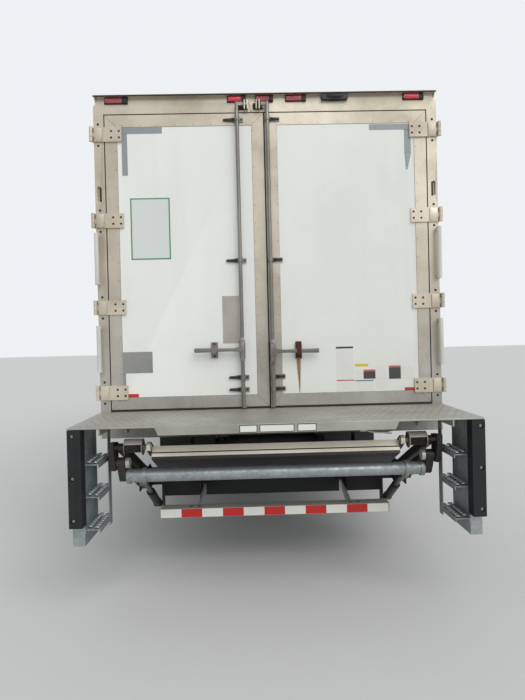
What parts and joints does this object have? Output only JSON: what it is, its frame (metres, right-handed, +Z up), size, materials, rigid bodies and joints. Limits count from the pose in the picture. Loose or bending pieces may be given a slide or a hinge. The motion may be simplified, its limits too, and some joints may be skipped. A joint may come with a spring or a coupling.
{
  "type": "refrigerated truck",
  "caption": "Refrigerated box truck with swing rear doors, a folded tail lift below the floor, a cooling unit over the cab and a tilting hood.",
  "frame": {"origin": "on the ground, under the middle of the vehicle's length and width", "axes": "+Y forward, +X to the vehicle's right, +Z up"},
  "size_m": [2.78, 10.9399, 3.5869],
  "materials": {
    "frame_paint": "black chassis paint, matt",
    "engine_iron": "cast iron",
    "tank_aluminium": "bare, rolled",
    "bumper_steel": "white paint, gloss",
    "cab_paint": "white paint, gloss",
    "window_glass": "tinted, clear",
    "seat_fabric": "woven",
    "dash_plastic": "moulded, grained",
    "box_skin": "white prepainted sheet",
    "box_steel": "primer",
    "frame_aluminium": "dull, dusty",
    "lamp_red": "moulded lens",
    "grab_white": "white paint",
    "plate_steel": "worn plate",
    "galvanised": "hot-dip galvanised",
    "bumper_rubber": "black, moulded",
    "guard_paint": "white and red reflective tape",
    "lift_black": "black paint, worn",
    "lift_zinc": "zinc plated, dusty",
    "unit_white": "moulded cover",
    "grille_black": "moulded",
    "lamp_clear": "clear lens",
    "mirror_black": "moulded",
    "door_white": "white panel, dusty",
    "lock_zinc": "zinc plated, tarnished",
    "wheel_white": "white paint",
    "tyre_rubber": "black rubber"
  },
  "bodies": {
    "chassis": {"frame_rails": "frame_paint", "front_axle": "frame_paint", "rear_axle": "frame_paint", "propeller_shaft": "frame_paint", "engine_block": "engine_iron", "fuel_tank": "tank_aluminium", "battery_box": "frame_paint", "front_bumper": "bumper_steel", "cab_shell": "cab_paint", "cab_glass": "window_glass", "seats": "seat_fabric", "dashboard": "dash_plastic", "box_floor": "box_steel", "box_wall_left": "box_skin", "box_wall_right": "box_skin", "box_roof": "box_skin", "box_front_wall": "box_skin", "rear_frame": "frame_aluminium", "header_lamps": "lamp_red", "grab_bars": "grab_white", "extension_plate": "plate_steel", "side_steps_left": "galvanised", "side_steps_right": "galvanised", "dock_bumpers": "bumper_rubber", "underride_bar": "guard_paint", "lift_main_frame": "lift_black", "cooling_unit": "unit_white", "mud_flaps": "bumper_rubber", "air_tanks": "frame_paint", "silencer": "galvanised"},
    "hood": {"hood": "cab_paint", "grille": "grille_black", "headlamps": "lamp_clear"},
    "cab_door_left": {"cab_door_left": "cab_paint", "door_glass_left": "window_glass", "mirror_left": "mirror_black"},
    "cab_door_right": {"cab_door_right": "cab_paint", "door_glass_right": "window_glass", "mirror_right": "mirror_black"},
    "rear_door_left": {"door_left": "door_white", "lock_bar_left": "lock_zinc"},
    "rear_door_right": {"door_right": "door_white", "lock_bar_right": "lock_zinc"},
    "knuckle_left": {"knuckle_left": "frame_paint"},
    "knuckle_right": {"knuckle_right": "frame_paint"},
    "tie_rod": {"tie_rod": "frame_paint"},
    "wheel_front_left": {"wheel_front_left": "wheel_white", "tyre_front_left": "tyre_rubber"},
    "wheel_front_right": {"wheel_front_right": "wheel_white", "tyre_front_right": "tyre_rubber"},
    "wheels_rear_left": {"wheel_rear_left": "wheel_white", "tyre_rear_left": "tyre_rubber"},
    "wheels_rear_right": {"wheel_rear_right": "wheel_white", "tyre_rear_right": "tyre_rubber"},
    "lift_arms": {"lift_arms": "galvanised"},
    "lift_upper_arms": {"lift_upper_arms": "lift_black"},
    "lift_shackles": {"lift_shackles": "lift_zinc"},
    "lift_platform": {"lift_platform": "lift_black"},
    "lift_cylinders": {"lift_cylinders": "lift_black"},
    "lift_rods": {"lift_rods": "lift_zinc"}
  },
  "joints": [
    {"name": "rear_door_left_swing", "type": "hinge", "parent": "chassis", "child": "rear_door_left", "pos_m": [-1.31, -4.75, 2.3], "axis": [0, 0, 1], "range_deg": [-265, 0]},
    {"name": "rear_door_right_swing", "type": "hinge", "parent": "chassis", "child": "rear_door_right", "pos_m": [1.31, -4.75, 2.3], "axis": [0, 0, 1], "range_deg": [0, 265]},
    {"name": "cab_door_left_swing", "type": "hinge", "parent": "chassis", "child": "cab_door_left", "pos_m": [-1.102, 3.817, 1.4], "axis": [0, 0, 1], "range_deg": [-70, 0]},
    {"name": "cab_door_right_swing", "type": "hinge", "parent": "chassis", "child": "cab_door_right", "pos_m": [1.102, 3.817, 1.4], "axis": [0, 0, 1], "range_deg": [0, 70]},
    {"name": "hood_tilt", "type": "hinge", "parent": "chassis", "child": "hood", "pos_m": [0, 5.39, 0.835], "axis": [-1, 0, 0], "range_deg": [0, 75]},
    {"name": "steer_left", "type": "hinge", "parent": "chassis", "child": "knuckle_left", "pos_m": [-0.87, 4.385, 0.466], "axis": [0, 0, 1], "range_deg": [-38, 38]},
    {"name": "steer_right", "type": "hinge", "parent": "chassis", "child": "knuckle_right", "pos_m": [0.87, 4.385, 0.466], "axis": [0, 0, 1], "range_deg": [-38, 38]},
    {"name": "tie_rod_slide", "type": "slide", "parent": "chassis", "child": "tie_rod", "axis": [1, 0, 0], "range_m": [-0.14, 0.14]},
    {"name": "front_left_roll", "type": "hinge", "parent": "knuckle_left", "child": "wheel_front_left", "pos_m": [-1.025, 4.385, 0.466], "axis": [1, 0, 0], "continuous": true},
    {"name": "front_right_roll", "type": "hinge", "parent": "knuckle_right", "child": "wheel_front_right", "pos_m": [1.025, 4.385, 0.466], "axis": [1, 0, 0], "continuous": true},
    {"name": "rear_left_roll", "type": "hinge", "parent": "chassis", "child": "wheels_rear_left", "pos_m": [-0.914, -2.015, 0.466], "axis": [1, 0, 0], "continuous": true},
    {"name": "rear_right_roll", "type": "hinge", "parent": "chassis", "child": "wheels_rear_right", "pos_m": [0.914, -2.015, 0.466], "axis": [1, 0, 0], "continuous": true},
    {"name": "lift_lower", "type": "hinge", "parent": "chassis", "child": "lift_arms", "pos_m": [0, -4.45, 0.6], "axis": [1, 0, 0], "range_deg": [0, 62]},
    {"name": "lift_upper", "type": "hinge", "parent": "chassis", "child": "lift_upper_arms", "pos_m": [0, -4.45, 0.704], "axis": [1, 0, 0], "range_deg": [0, 62]},
    {"name": "shackle_turn", "type": "hinge", "parent": "lift_arms", "child": "lift_shackles", "pos_m": [0, -5.18, 0.93], "axis": [1, 0, 0], "range_deg": [-62, 0]},
    {"name": "platform_tilt", "type": "hinge", "parent": "lift_shackles", "child": "lift_platform", "pos_m": [0, -5.23, 1.045], "axis": [1, 0, 0], "range_deg": [0, 92]},
    {"name": "cylinder_swing", "type": "hinge", "parent": "chassis", "child": "lift_cylinders", "pos_m": [0, -4.31, 0.4], "axis": [1, 0, 0], "range_deg": [0, 41.47]},
    {"name": "rod_slide", "type": "slide", "parent": "lift_cylinders", "child": "lift_rods", "axis": [0, -0.8524, 0.5229], "range_m": [-0.1787, 0]}
  ],
  "couplings": [
    {"joint": "steer_right", "follows": "steer_left", "ratio": 1},
    {"joint": "tie_rod_slide", "follows": "steer_left", "m_per_rad": 0.18},
    {"joint": "lift_upper", "follows": "lift_lower", "ratio": 1},
    {"joint": "shackle_turn", "follows": "lift_lower", "ratio": -1},
    {"joint": "platform_tilt", "follows": "lift_lower", "ratio": 1.4839},
    {"joint": "cylinder_swing", "follows": "lift_lower", "ratio": 0.66872},
    {"joint": "rod_slide", "follows": "lift_lower", "m_per_rad": -0.16468}
  ]
}
